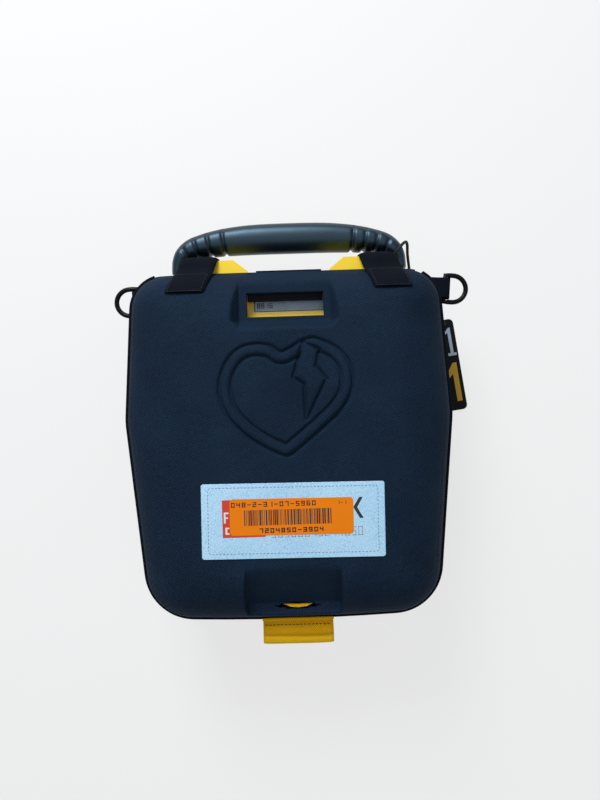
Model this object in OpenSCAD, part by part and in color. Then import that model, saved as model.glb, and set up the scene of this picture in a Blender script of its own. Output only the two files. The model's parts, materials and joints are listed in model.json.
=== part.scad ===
// Defibrillator in its moulded carry case, lying on its back.
// +X right, +Y towards the carry handle, +Z up through the thickness, millimetres.
// The origin is the middle of the flat back face that it rests on.

/* [Case] */
// Width of the case across its rim
case_w = 228; // [220:1:240]
// Length of the case along its middle
case_l = 243; // [236:1:252]
// Height of the case front above the rest face
case_h = 119; // [117:0.5:124]
// Height of the rim where the front cover meets the back shell
rim_z = 88; // [86:0.5:90]
// Wall of the moulded foam and fabric shells
wall = 5; // [4:0.5:5]
// Width of the display window
window_w = 52; // [44:1:54]
// Height of the display window
window_l = 16; // [12:0.5:17]

/* [Device] */
// Distance of the device from the middle of the case, to the right
device_x = 3; // [0:0.5:4]
// Width of the device body
device_w = 198; // [190:1:200]
// Length of the device body without its handle
device_l = 224; // [215:1:226]
// Wall of the moulded plastic shells
shell = 3; // [2.5:0.25:3.5]
// Width of the carry handle over its ends
handle_w = 175; // [170:1:180]
// Depth of the handle section
grip_z = 25; // [22:0.5:28]

/* [Controls] */
// Length of the on and off button
on_w = 44; // [36:1:50]
// Diameter of the shock button
shock_d = 28; // [22:1:32]
// Travel of both buttons
travel = 2; // [1:0.25:2.5]

/* [Webbing] */
// Width of the hinge straps
strap_w = 26; // [24:1:28]
// Thickness of the webbing
web = 1.6; // [1.2:0.2:2]
// Width of the pull tab
tab_w = 50; // [45:1:55]
// Diameter of the ring wire
wire = 3.6; // [3:0.2:4]

/* [Hidden] */
$fn = 48;
black = "#1c293a";
cloth = "#16181f";
yellow = "#f0cf30";
hw = case_w / 2;
hl = case_l / 2;
dw = device_w / 2;
top_y = hl - 7.5;
low_y = top_y - device_l;
hinge = [0, 124, 90];
lid_axis = [device_x, 73, 103.5];
on_at = [device_x, -90];
shock_at = [device_x + 63, -38];
lug_x = [42, 78];
post_at = [[-74, -60], [74, -60], [-74, 66], [74, 66]];
handle_z = 62;

function arc(c, r, a, b, n) = [
  for (i = [0:n]) c + r * [cos(a + (b - a) * i / n), sin(a + (b - a) * i / n)]
];
function both(p) = concat(p, [for (i = [len(p) - 1:-1:0]) [-p[i][0], p[i][1]]]);
function heart(t) = [
  45 * pow(sin(t), 3),
  33 + 36 * cos(t) - 13 * cos(2 * t) - 6 * cos(3 * t) - 3 * cos(4 * t)
];

case_plan = both(concat(
  [[25, -hl + 0.2], [50, -hl + 0.8]],
  arc([hw - 44, -hl + 35.5], 34, -88, -5.5, 10),
  arc([hw - 60, 20], 60, -5.5, 3.8, 4),
  arc([hw - 29.5, hl - 24.5], 24.5, 3.8, 90, 9)
));
device_plan = both(concat(
  arc([dw - 34, low_y + 29], 29, -90, -1.7, 9),
  arc([dw - 22, top_y - 22], 22, -1.7, 90, 8)
));
lid_plan = both(concat(
  arc([62, -58], 24, -90, 0, 8),
  arc([80, 70], 6, 0, 90, 4)
));
heart_plan = [for (i = [0:47]) heart(i * 7.5)];
bolt_plan = [[12, 68], [22, 64], [19, 53], [26, 44], [12, 20], [11, 41], [5, 46]];
// Side view of a hinge strap: over the cover front, past the device, down to the back shell
strap_path = [
  [106, 114.8], [110, 112.4], [114, 109], [117.5, 104.6], [120.7, 99.6], [124, 96.8],
  [128.6, 95.8], [132.4, 93.6], [134.2, 88.5], [134.8, 77], [134.8, 64], [134.3, 50],
  [133.4, 40], [129, 34], [124, 28], [121.4, 20], [119.8, 12]
];
// Cord of the hang tag: a turn over the handle end, then down beside the case
tag_route = [
  [79.6, 134.6, 72.2], [82.6, 138.2, 75.9], [87, 143, 75.9], [90.8, 146.2, 73.5],
  [93.2, 145.4, 68], [94.8, 141, 60], [97, 133, 48],
  [100, 127, 34], [105, 121, 20], [112, 115, 10], [119, 109, 4.5], [126, 103, 2.4],
  [131, 97, 1.6], [134, 91, 1.3]
];

// One level of a plan outline, inset by d with its corners eased by r
module level(plan, z, d, r = 0) {
  translate([0, 0, z])
    linear_extrude(0.01)
      offset(r = r)
        offset(delta = -d - r)
          polygon(plan);
}

// Solid through a list of levels [height, inset, easing]
module stack(plan, levels) {
  hull()
    for (s = levels)
      level(plan, s[0], s[1], s[2]);
}

// Bar along X with the given side view in Y and Z
module side_bar(points, x, w) {
  translate([x - w / 2, 0, 0])
    rotate([90, 0, 90])
      linear_extrude(w)
        polygon(points);
}

module box(x, y, z, size) {
  translate([x - size[0] / 2, y - size[1] / 2, z])
    cube(size);
}

module rounded(x, y, z, w, l, h, r) {
  translate([x, y, z])
    linear_extrude(h)
      offset(r = r)
        square([w - 2 * r, l - 2 * r], center = true);
}

module rod_x(at, r, w) {
  translate([at[0] - w / 2, at[1], at[2]])
    rotate([0, 90, 0])
      cylinder(r = r, h = w);
}

module both_sides(x) {
  for (s = [-1, 1])
    translate([device_x + s * x, 0, 0])
      children();
}

// Opening in the top walls where the device shoulders and the handle ends come out
module shoulder_gap() {
  both_sides(58)
    box(0, hl - 2, 34, [68, 24, 64]);
}

module cover_outer() {
  stack(case_plan, [
    [rim_z + 0.2, 0, 0], [96, 2, 1], [103, 6, 4], [110, 13, 9], [116, 23, 14],
    [case_h - 0.01, 36, 20]
  ]);
}

module cover_inner() {
  stack(case_plan, [
    [rim_z - 1, wall, 0], [94, wall + 1.6, 1], [100, wall + 5.4, 4],
    [106, wall + 12, 9], [111, wall + 22, 14], [case_h - wall, wall + 34, 18]
  ]);
}

module window_trough(z, w) {
  translate([0, 200, 0])
    rotate([90, 0, 0])
      linear_extrude(200 - 83 + w)
        polygon([[-31 - w, z], [31 + w, z], [39 + w, 125], [-39 - w, 125]]);
}

module tab_trough(s) {
  side_bar([[-79 + s, 119.6 - s], [-108 + s / 2, 101 - s], [-114.5 - s, 101 - s],
    [-114.5 - s, 130], [-79 + s, 130]], 0, 66 + 2 * s);
}

module tab_slit() {
  intersection() {
    translate([2, -110.5 + 20, 84])
      cylinder(r = 22.6, h = 20, $fn = 96);
    translate([2, -110.5 - 20, 84])
      cylinder(r = 22.6, h = 20, $fn = 96);
  }
}

// Line of the given width along the edge of a closed outline, cut into the cover front
module groove(plan, inset, w) {
  translate([0, 0, case_h - 0.8])
    linear_extrude(2)
      difference() {
        offset(delta = -inset) polygon(plan);
        offset(delta = -inset - w) polygon(plan);
      }
}

module case_front_cover() {
  color(black)
    difference() {
      cover_outer();
      difference() {
        cover_inner();
        window_trough(103, 3);
        tab_trough(5);
      }
      window_trough(108, 0);
      tab_trough(0);
      tab_slit();
      box(0, 96, 90, [window_w, window_l, 30]);
      shoulder_gap();
      groove(heart_plan, 0, 1.2);
      groove(heart_plan, 6.5, 1.2);
      groove(bolt_plan, 0, 1);
    }
}

module back_outer() {
  stack(case_plan, [
    [0, 14, 0], [4, 8, 0], [14, 4, 0], [44, 1.5, 0], [rim_z - 0.21, 0, 0]
  ]);
}

module back_inner(d) {
  stack(case_plan, [
    [wall, 12 + d, 0], [12, 4 + wall + d, 0], [44, 1.5 + wall + d, 0],
    [rim_z + 1, wall + d, 0]
  ]);
}

module case_back_shell() {
  color(black)
    difference() {
      back_outer();
      back_inner(0);
      shoulder_gap();
    }
}

// Folded tape that closes the edge of a shell
module binding(z) {
  difference() {
    translate([0, 0, z])
      linear_extrude(3)
        offset(r = 1.2)
          polygon(case_plan);
    translate([0, 0, z - 1])
      linear_extrude(5)
        offset(delta = 0.02)
          polygon(case_plan);
    shoulder_gap();
  }
}

module cover_binding() {
  color(cloth)
    binding(rim_z + 0.3);
}

module back_binding() {
  color(cloth)
    binding(rim_z - 3.3);
}

module case_foam_pad() {
  color("#3a3d42")
    translate([0, 0, wall + 0.05])
      linear_extrude(2.85)
        offset(r = 8)
          offset(delta = -30)
            polygon(case_plan);
}

module label_patch() {
  color("#dfe6ec")
    rounded(1.5, -48, case_h + 0.01, 122, 50, 0.7, 2);
}

module asset_sticker() {
  color("#e8892a")
    rounded(0, -45.3, case_h + 0.73, 82, 24.5, 0.25, 3);
}

module closure_flap() {
  color("#c99417")
    side_bar([[-hl - 1.35, rim_z + 1], [-hl - 1.35, 92], [-hl - 0.2, 93.8],
      [-hl - 1.2, 95.4], [-hl - 2.95, 93], [-hl - 2.95, 56], [-hl - 1.35 - 0.01, 56]],
      2, tab_w);
}

module pull_tab() {
  color("#f0b532")
    difference() {
      side_bar([[-hl - 3, 76], [-hl - 3, 82], [-hl - 16, 88.5], [-hl - 20, 88],
        [-hl - 21.5, 85.5], [-hl - 20.5, 83]], 2, tab_w);
      side_bar([[-hl - 7, 80.2], [-hl - 7, 81.6], [-hl - 16, 86.3], [-hl - 19.4, 86],
        [-hl - 19, 84.4]], 2, tab_w + 2);
    }
}

module closure_hook() {
  color(cloth)
    side_bar([[-hl - 1.33, 58], [-hl - 1.33, 84], [-hl - 0.55, 84], [-hl - 0.55, 58]],
      2, tab_w - 6);
}

module closure_loop() {
  color(cloth)
    side_bar([[-hl - 0.5, 57], [-hl - 0.5, 84], [-hl + 0.05, 84], [-hl + 1, 57]],
      2, tab_w - 4);
}

// Outline of a band of webbing that follows a path
function band(path) = concat(path, [
  for (i = [len(path) - 1:-1:0])
    let (a = path[max(i - 1, 0)], b = path[min(i + 1, len(path) - 1)], d = b - a)
      path[i] - web * [-d[1], d[0]] / norm(d)
]);

module hinge_strap(s) {
  color(cloth)
    multmatrix([[1, -s * 0.28, 0, s * (61 + 0.28 * 131) + device_x], [0, 1, 0, 0],
      [0, 0, 1, 0], [0, 0, 0, 1]])
      side_bar(band(strap_path), 0, strap_w);
}

module hinge_strap_left() {
  hinge_strap(-1);
}

module hinge_strap_right() {
  hinge_strap(1);
}

// Places of the two rings: the middle of the straight bar, and the direction it points
ring_left = [-111.5, 108.5, 62, 183];
ring_right = [119.5, 111.5, 62, -5];
ring_half = 10;

module ring_place(p) {
  translate([p[0], p[1], p[2]])
    rotate([0, 0, p[3]])
      children();
}

module ring_tab(p) {
  color(cloth)
    ring_place(p)
      difference() {
        union() {
          rotate([90, 0, 0])
            cylinder(r = wire / 2 + 2, h = 15.6, center = true);
          translate([-20, -7.8, -1.6])
            cube([20, 15.6, 3.2]);
        }
        rotate([90, 0, 0])
          cylinder(r = wire / 2 + 0.4, h = 24, center = true);
      }
}

module ring_tab_left() {
  difference() {
    ring_tab(ring_left);
    stack(case_plan, [[40, 1.2, 0], [44, 1.2, 0], [rim_z, -0.3, 0]]);
  }
}

module ring_tab_right() {
  difference() {
    ring_tab(ring_right);
    stack(case_plan, [[40, 1.2, 0], [44, 1.2, 0], [rim_z, -0.3, 0]]);
  }
}

module d_ring(p) {
  color("#101114")
    ring_place(p) {
      rotate([90, 0, 0])
        cylinder(r = wire / 2, h = 2 * ring_half, center = true);
      for (s = [-1, 1])
        translate([0, s * ring_half, 0])
          sphere(r = wire / 2);
      for (s = [-1, 1])
        translate([0, s * ring_half, 0])
          rotate([0, 90, 0])
            cylinder(r = wire / 2, h = 6);
      translate([6, 0, 0])
        rotate([0, 0, -90])
          rotate_extrude(angle = 180)
            translate([ring_half, 0])
              circle(r = wire / 2);
    }
}

module d_ring_left() {
  d_ring(ring_left);
}

module d_ring_right() {
  d_ring(ring_right);
}

module hang_tag() {
  color(cloth)
    translate([131, 56, 0.1])
      rotate([0, 0, 8])
        difference() {
          rounded(0, 0, 0, 30, 78, 0.8, 4);
          translate([2, 34.5, -1])
            cylinder(r = 2.2, h = 3);
        }
}

// Tube of eight sides through the points of a route
module tube(route, r) {
  n = len(route);
  rings = [
    for (i = [0:n - 1])
      let (d = route[min(i + 1, n - 1)] - route[max(i - 1, 0)],
        t = d / norm(d), u = cross(t, [0, 0.02, 1]), v = u / norm(u), w = cross(t, v))
        for (k = [0:7]) route[i] + r * (cos(k * 45) * v + sin(k * 45) * w)
  ];
  polyhedron(rings, concat(
    [[for (k = [0:7]) k]],
    [for (i = [0:n - 2], k = [0:7])
      [i * 8 + k, (i + 1) * 8 + k, (i + 1) * 8 + (k + 1) % 8, i * 8 + (k + 1) % 8]],
    [[for (k = [7:-1:0]) (n - 1) * 8 + k]]
  ));
}

module tag_cord() {
  color("#0d0e10")
    tube(tag_route, 1.1);
}

// Yellow blocks at the top corners that the handle is fixed to
module shoulders(z, h) {
  for (s = [-1, 1])
    translate([0, 0, z])
      linear_extrude(h)
        polygon([[s * 26, 105], [s * 29, 123], [s * 39, 131], [s * 76, 131],
          [s * 76, 105]]);
}

module base_solid() {
  stack(device_plan, [
    [8, 12, 0], [12, 6, 0], [24, 2, 0], [60, 0, 0], [rim_z - 0.05, 0, 0]
  ]);
}

module base_hollow() {
  translate([0, 0, 8 + shell])
    linear_extrude(80)
      offset(delta = -12 - shell / 2) polygon(device_plan);
  translate([0, 0, 26])
    linear_extrude(70)
      offset(delta = -2 - shell) polygon(device_plan);
}

module aed_base_shell() {
  color(yellow)
    translate([device_x, 0, 0])
      difference() {
        union() {
          base_solid();
          shoulders(40, 47.5);
        }
        base_hollow();
        for (s = [-1, 1]) {
          box(s * 54, 112, 43, [30, 26, 60]);
          rod_x([s * 74, 124, handle_z], 2.5, 12);
        }
        box(-dw, -20, 40, [30, 46, 24]);
        box(0, low_y, 56, [16, 8, 8]);
      }
}

module board_standoffs() {
  color("#b9a25a")
    for (p = post_at)
      translate([device_x + p[0], p[1], 11.02])
        difference() {
          cylinder(r = 4, h = 65.9);
          translate([0, 0, 20])
            cylinder(r = 1.5, h = 50);
        }
}

module deck_outer() {
  difference() {
    union() {
      stack(device_plan, [[rim_z, 0, 0], [92, 1.5, 0], [97, 5, 0], [99.99, 9, 2]]);
      shoulders(rim_z, 3);
    }
    side_bar([[-95, 100.1], [-105, 93], [-120, 93], [-120, 104], [-95, 104]], 0, 230);
    side_bar([[84, 98], [84, 104], [130, 104], [130, 98]], 0, 230);
  }
}

module deck_lugs() {
  for (s = [-1, 1], x = lug_x)
    difference() {
      side_bar([[lid_axis[1] - 4, 99], [lid_axis[1] - 3.4, 106], [lid_axis[1] - 1.5, 107.2],
        [lid_axis[1] + 1.5, 107.2], [lid_axis[1] + 3.4, 106], [lid_axis[1] + 4, 99]],
        s * x, 4);
      rod_x([s * x, lid_axis[1], lid_axis[2]], 1.52, 6);
    }
}

module aed_deck() {
  color(yellow)
    translate([device_x, 0, 0]) {
      difference() {
        deck_outer();
        difference() {
          stack(device_plan, [[rim_z - 1, shell, 0], [92, shell + 2, 0],
            [96.4, shell + 8, 0]]);
          rounded(-17, -2, 89.5, 126, 136, 20, 8);
          rounded(0, 98.5, 90, 62, 20, 20, 2);
          side_bar([[-93, 98], [-104, 90.5], [-120, 90.5], [-120, 104], [-93, 104]],
            0, 230);
        }
        rounded(-17, -2, 92, 120, 130, 20, 6);
        rounded(0, 98.5, 80, 50, 11, 40, 1);
        rounded(0, 98.5, 96, 58, 17, 10, 1.5);
        rounded(0, on_at[1], 80, on_w + 0.6, 11.6, 40, 5.7);
        translate([shock_at[0] - device_x, shock_at[1], 80])
          cylinder(r = shock_d / 2 + 0.3, h = 40);
        rounded(60, 38, 80, 26.2, 18.2, 40, 3);
        for (a = [0:60:300])
          translate([62 + 7 * cos(a), 2 + 7 * sin(a), 80])
            cylinder(r = 1.6, h = 40, $fn = 16);
        box(13, -81.7, 80, [10.4, 4.6, 40]);
      }
      deck_lugs();
    }
}

module aed_lid() {
  color(yellow)
    translate([device_x, 0, 0])
      difference() {
        union() {
          difference() {
            stack(lid_plan, [[100.4, 0, 0], [104, 1.5, 0], [108.5, 8, 4], [112.4, 19, 10]]);
            stack(lid_plan, [[99, 3, 0], [103, 4.5, 0], [106.5, 10, 4], [109.6, 20, 10]]);
            side_bar([[65, 98], [65, 114], [82, 114], [82, 98]], 0, 200);
          }
          side_bar([[63, 102], [63, 110.6], [lid_axis[1] - 1, 105.9],
            [lid_axis[1] + 3, 104.8], [lid_axis[1] + 3, 102], [lid_axis[1] + 1, 100.6],
            [lid_axis[1] - 2, 100.6]], 0, 164);
          side_bar([[-79, 101], [-81, 99], [-81, 84], [-83.4, 84], [-83.4, 86],
            [-82.2, 86.6], [-82.2, 99], [-81, 103]], 13, 9);
        }
        rod_x([0, lid_axis[1], lid_axis[2]], 1.52, 170);
        for (s = [-1, 1], x = lug_x)
          box(s * x, lid_axis[1] + 1, 98, [4.8, 12, 12]);
        box(0, lid_axis[1] + 2, 98, [78, 12, 12]);
      }
}

module lid_gasket() {
  color("#202020")
    translate([device_x, 0, 100.02])
      linear_extrude(0.34)
        difference() {
          offset(delta = -0.6) polygon(lid_plan);
          offset(delta = -2.4) polygon(lid_plan);
          translate([0, 72]) square([200, 16], center = true);
          translate([9, -82]) square([34, 6], center = true);
        }
}

module lid_pin(s) {
  color("#c8ccd0")
    rod_x([device_x + s * 60, lid_axis[1], lid_axis[2]], 1.45, 40);
}

module lid_pin_left() {
  lid_pin(-1);
}

module lid_pin_right() {
  lid_pin(1);
}

module on_button() {
  color("#2e9b4a")
    difference() {
      union() {
        rounded(device_x, on_at[1], 90, on_w, 11, 11, 5.4);
        rounded(device_x, on_at[1], 92.5, on_w + 3, 12.6, 1.5, 6.2);
      }
      translate([device_x, on_at[1], 88])
        cylinder(r = 4.4, h = 8);
    }
}

// Compression spring, drawn as the sleeve that its turns fill
module spring(x, y, z, r, h) {
  color("#b8bcc0")
    translate([x, y, z])
      difference() {
        cylinder(r = r, h = h);
        translate([0, 0, -1])
          cylinder(r = r - 0.8, h = h + 2);
      }
}

module on_spring() {
  spring(device_x, on_at[1], 80.2, 4, 15.7);
}

module lid_latch() {
  color("#3c3f44")
    translate([device_x, 0, 0])
      side_bar([[-82.6, 86.8], [-82.6, 87.7], [-94, 87.7], [-94, 82], [-90, 82],
        [-88, 86.8]], 13, 8.6);
}

module shock_button() {
  color("#e8781e")
    difference() {
      union() {
        translate([shock_at[0], shock_at[1], 89])
          cylinder(r = shock_d / 2, h = 13);
        translate([shock_at[0], shock_at[1], 94.4])
          cylinder(r = shock_d / 2 + 2, h = 1.6);
      }
      translate([shock_at[0], shock_at[1], 87])
        cylinder(r = 6.4, h = 9);
    }
}

module shock_spring() {
  spring(shock_at[0], shock_at[1], 80.2, 6, 15.7);
}

module display_lens() {
  color("#9fb4c4")
    rounded(device_x, 98.5, 96.03, 57, 16, 1.6, 1.2);
}

module display_lcd() {
  color("#57698c")
    box(device_x, 98.5, 90.2, [48, 9.6, 5.7]);
}

module infrared_window() {
  color("#3a0d10")
    box(device_x, low_y + 1.6, 56.5, [15, 2.6, 7]);
}

module speaker() {
  color("#2a2c30")
    translate([device_x + 62, 2, 82.2]) {
      cylinder(r = 14, h = 3);
      cylinder(r = 9, h = 6.6);
    }
}

module electrode_pouch() {
  color("#d8dade")
    translate([device_x - 17, -2, 92.1])
      hull() {
        linear_extrude(0.6)
          offset(r = 4) square([108, 116], center = true);
        translate([0, 0, 5])
          linear_extrude(3)
            offset(r = 8) square([92, 98], center = true);
        translate([0, 0, 11])
          linear_extrude(0.6)
            offset(r = 10) square([60, 66], center = true);
      }
}

module pouch_pull() {
  color("#c22f22")
    translate([device_x - 17, -42, 103.9])
      linear_extrude(1.6)
        difference() {
          offset(r = 7) square([44, 16], center = true);
          offset(r = 4) square([36, 8], center = true);
        }
}

module connector_socket() {
  color("#4a4d52")
    difference() {
      rounded(device_x + 60, 38, 86, 26, 18, 14.6, 3);
      rounded(device_x + 60, 38, 90, 18.2, 10.2, 12, 1.5);
    }
}

module electrode_plug() {
  color("#8d9298")
    rounded(device_x + 60, 38, 90.05, 18, 10, 15, 1.5);
}

module electrode_lead() {
  color("#d0d0d0")
    tube([
      for (p = [[60, 32.5, 102.5], [58, 27, 102.4], [52, 21, 102.6], [46, 18, 103.4],
        [40, 17, 104.5], [34, 17, 105.2], [28, 17, 105.6]])
        p + [device_x, 0, 0]
    ], 1.4);
}

module quick_card() {
  color("#f4f4ee")
    rounded(device_x, 4, 109.0, 112, 96, 0.5, 3);
}

module main_board() {
  color("#1f6b3a")
    difference() {
      rounded(device_x, 6, 77, 164, 146, 1.6, 4);
      for (p = post_at)
        translate([device_x + p[0], p[1], 70])
          cylinder(r = 1.6, h = 12);
    }
}

module hv_capacitor() {
  color("#23304a")
    rod_x([device_x + 35, 40, 36], 20, 72);
}

module battery_pack() {
  color("#4c5560")
    rounded(device_x + 27, -38, 14, 78, 62, 36, 4);
}

module charge_cartridge() {
  color("#5a5f66")
    rounded(device_x - 73.5, -20, 41, 46, 44, 22, 3);
}

module transformer() {
  color("#a5632c") {
    box(device_x - 50, 40, 14, [34, 30, 26]);
    translate([device_x - 50, 40, 40.01])
      cylinder(r = 11, h = 8);
  }
}

module discharge_module() {
  color("#6d7278")
    for (i = [0:4])
      box(device_x - 44, 74 + i * 5, 14, [48, 3, i == 0 ? 50 : 40]);
}

module base_screws() {
  color("#b9bdc2")
    for (p = post_at)
      translate([device_x + p[0], p[1], 62]) {
        cylinder(r = 1.46, h = 16.64);
        translate([0, 0, 16.62])
          cylinder(r = 3, h = 2);
      }
}

// Half of the handle bar's outline: distance outside half the width less 20 mm or from
// the middle, y, and the direction that the edge faces
handle_half = [
  [0, 163, 90], [14, 162.9, 89], [28, 162.3, 86], [42, 160.9, 81], [54, 158.7, 76],
  [64, 155.8, 70], [72, 152.4, 62], [78.5, 148.4, 50], [83, 143.8, 36], [86, 138.4, 18],
  [87.5, 132, 0], [77.5, 132, 180], [76.4, 135.8, 205], [73.6, 138.6, 235],
  [69, 140.1, 258], [60, 141, 266], [46, 141.8, 268], [28, 142, 270], [0, 142, 270]
];
// Plan of the handle bar, grown by d
function handle_plan(d) = both([
  for (p = handle_half)
    [min(p[0], 1) * (p[0] + (handle_w - 175) / 2 + d * cos(p[2])), p[1] + d * sin(p[2])]
]);

module handle_slab(d, z) {
  translate([device_x, 0, handle_z - z / 2])
    linear_extrude(z)
      polygon(handle_plan(d));
}

module handle_grip() {
  color("#20242c")
    difference() {
      union() {
        handle_slab(0, grip_z - 10);
        handle_slab(-1.4, grip_z - 5);
        handle_slab(-4, grip_z);
      }
      handle_core_solid(0.02);
      for (x = [-50, -62, -72, 50, 62, 72])
        difference() {
          box(x, 152, handle_z - 20, [2, 40, 40]);
          translate([-device_x, 0, 0]) handle_slab(-2.6, grip_z - 7);
        }
    }
}

module handle_core_solid(g) {
  translate([device_x, 0, handle_z - 5 - g])
    linear_extrude(10 + 2 * g)
      offset(delta = g)
        difference() {
          polygon(concat(arc([handle_w / 2 - 24, 134], 19, 0, 90, 8),
            arc([-handle_w / 2 + 24, 134], 19, 90, 180, 8),
            [[-handle_w / 2 + 5, 118], [handle_w / 2 - 5, 118]]));
          polygon(concat(arc([handle_w / 2 - 24, 134], 14.4, 0, 90, 8),
            arc([-handle_w / 2 + 24, 134], 14.4, 90, 180, 8),
            [[-handle_w / 2 + 9.6, 110], [handle_w / 2 - 9.6, 110]]));
        }
}

module handle_core() {
  color("#8c9096")
    difference() {
      handle_core_solid(0);
      for (s = [-1, 1])
        rod_x([device_x + s * 80, 124, handle_z], 2.55, 14);
    }
}

module handle_pins() {
  color("#b9bdc2")
    for (s = [-1, 1]) {
      rod_x([device_x + s * 78.3, 124, handle_z], 2.48, 10);
      rod_x([device_x + s * 84.4, 124, handle_z], 4, 2.2);
    }
}

case_back_shell();
back_binding();
case_front_cover();
cover_binding();
case_foam_pad();
label_patch();
asset_sticker();
closure_flap();
pull_tab();
closure_hook();
closure_loop();
hinge_strap_left();
hinge_strap_right();
ring_tab_left();
ring_tab_right();
d_ring_left();
d_ring_right();
hang_tag();
tag_cord();
aed_base_shell();
aed_deck();
aed_lid();
lid_gasket();
lid_pin_left();
lid_pin_right();
on_button();
on_spring();
lid_latch();
shock_button();
shock_spring();
display_lens();
display_lcd();
infrared_window();
speaker();
electrode_pouch();
pouch_pull();
electrode_plug();
electrode_lead();
connector_socket();
quick_card();
board_standoffs();
main_board();
hv_capacitor();
battery_pack();
charge_cartridge();
transformer();
discharge_module();
base_screws();
handle_grip();
handle_core();
handle_pins();
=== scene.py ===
import bpy, bmesh, json, math
import numpy as np
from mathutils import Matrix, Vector

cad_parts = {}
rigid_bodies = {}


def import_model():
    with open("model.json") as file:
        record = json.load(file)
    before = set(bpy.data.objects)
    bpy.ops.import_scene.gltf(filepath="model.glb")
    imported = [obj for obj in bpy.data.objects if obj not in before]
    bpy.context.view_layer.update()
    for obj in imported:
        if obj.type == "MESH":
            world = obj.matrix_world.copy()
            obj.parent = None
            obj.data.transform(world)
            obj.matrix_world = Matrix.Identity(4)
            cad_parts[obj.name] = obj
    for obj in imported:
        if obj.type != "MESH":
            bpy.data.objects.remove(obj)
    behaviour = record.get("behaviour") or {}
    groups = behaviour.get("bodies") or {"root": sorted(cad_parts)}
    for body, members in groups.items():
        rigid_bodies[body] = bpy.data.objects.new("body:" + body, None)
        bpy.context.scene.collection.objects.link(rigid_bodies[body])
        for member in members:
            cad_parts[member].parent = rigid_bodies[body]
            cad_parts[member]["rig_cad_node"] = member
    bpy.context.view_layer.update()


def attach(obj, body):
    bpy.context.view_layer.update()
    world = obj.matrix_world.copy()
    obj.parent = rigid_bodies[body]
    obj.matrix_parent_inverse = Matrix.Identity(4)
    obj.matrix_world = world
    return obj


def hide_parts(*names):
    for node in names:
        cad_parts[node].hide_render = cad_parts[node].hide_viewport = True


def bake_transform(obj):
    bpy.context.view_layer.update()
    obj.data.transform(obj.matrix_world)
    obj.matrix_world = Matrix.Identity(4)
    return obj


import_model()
MM = 0.001
ROOT, COVER = "case_and_device", "cover"
X0 = 3.0  # x of the device's middle, in millimetres
HANDLE_Z = 62  # height of the handle's and the rings' middle
GAP = (24, 92)  # how far from X0 the openings for the device's shoulders reach
STITCH = 0.62  # share of the pitch that a stitch takes up


# ---------- camera and light ----------
cam = bpy.data.cameras.new("camera")
cam.lens, cam.sensor_width, cam.clip_start = 27.0, 36.0, 0.01
eye = bpy.data.objects.new("camera", cam)
eye.location = (0.0081, 0.031, 0.514)
eye.rotation_euler = (0, 0, math.radians(-1.8))
bpy.context.collection.objects.link(eye)
bpy.context.scene.camera = eye


# ---------- materials ----------
def nodes(name):
    m = bpy.data.materials.new(name)
    m.use_nodes = True
    t = m.node_tree
    return m, t, t.nodes["Principled BSDF"]


def put(t, kind, **kw):
    n = t.nodes.new(kind)
    for k, v in kw.items():
        if k in n.inputs:
            n.inputs[k].default_value = v
        else:
            setattr(n, k, v)
    return n


def coords(t, turn=0.0):
    c = put(t, "ShaderNodeTexCoord")
    m = put(t, "ShaderNodeMapping")
    m.inputs["Rotation"].default_value = (0, 0, turn)
    t.links.new(c.outputs["Object"], m.inputs["Vector"])
    return m.outputs["Vector"]


def math_node(t, op, a, b):
    n = put(t, "ShaderNodeMath", operation=op)
    for i, v in enumerate((a, b)):
        if isinstance(v, (int, float)):
            n.inputs[i].default_value = v
        else:
            t.links.new(v, n.inputs[i])
    return n.outputs[0]


def ramp(t, value, stops):
    r = put(t, "ShaderNodeValToRGB")
    e = r.color_ramp.elements
    while len(e) < len(stops):
        e.new(0.5)
    for k, (p, c) in zip(e, stops):
        k.position, k.color = p, (*c, 1)
    t.links.new(value, r.inputs["Fac"])
    return r.outputs["Color"]


def bump(t, b, height, strength, dist, chain=None):
    n = put(t, "ShaderNodeBump")
    n.inputs["Strength"].default_value = strength
    n.inputs["Distance"].default_value = dist
    t.links.new(height, n.inputs["Height"])
    if chain is not None:
        t.links.new(chain, n.inputs["Normal"])
    t.links.new(n.outputs["Normal"], b.inputs["Normal"])
    return n.outputs["Normal"]


def noise(t, scale, detail, rough=0.5):
    n = put(t, "ShaderNodeTexNoise")
    n.inputs["Scale"].default_value = scale
    n.inputs["Detail"].default_value = detail
    n.inputs["Roughness"].default_value = rough
    t.links.new(coords(t), n.inputs["Vector"])
    return n.outputs["Fac"]


def wave(t, pitch, turn):
    """Smooth bands, pitch metres apart."""
    w = put(t, "ShaderNodeTexWave", wave_type="BANDS", bands_direction="X", wave_profile="SIN")
    w.inputs["Scale"].default_value = 0.314 / pitch
    t.links.new(coords(t, turn), w.inputs["Vector"])
    return w.outputs["Fac"]


def plastic(name, base, rough=0.42, grain=900, strength=0.12, mottle=0.06, metal=0.0, shine=0.5,
            tint=(1, 1, 1)):
    """Moulded or printed surface, a little mottled, with a fine grain."""
    m, t, b = nodes(name)
    lo = [c * (1 - mottle) for c in base]
    hi = [min(1, c * (1 + mottle)) for c in base]
    t.links.new(ramp(t, noise(t, 38, 4), [(0.3, lo), (0.7, hi)]), b.inputs["Base Color"])
    r = put(t, "ShaderNodeMapRange")
    r.inputs["To Min"].default_value, r.inputs["To Max"].default_value = rough - 0.06, rough + 0.08
    t.links.new(noise(t, 120, 3), r.inputs["Value"])
    t.links.new(r.outputs["Result"], b.inputs["Roughness"])
    b.inputs["Metallic"].default_value = metal
    b.inputs["Specular IOR Level"].default_value = shine
    b.inputs["Specular Tint"].default_value = (*tint, 1)
    bump(t, b, noise(t, grain, 2), strength, 0.0002)
    return m


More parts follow.
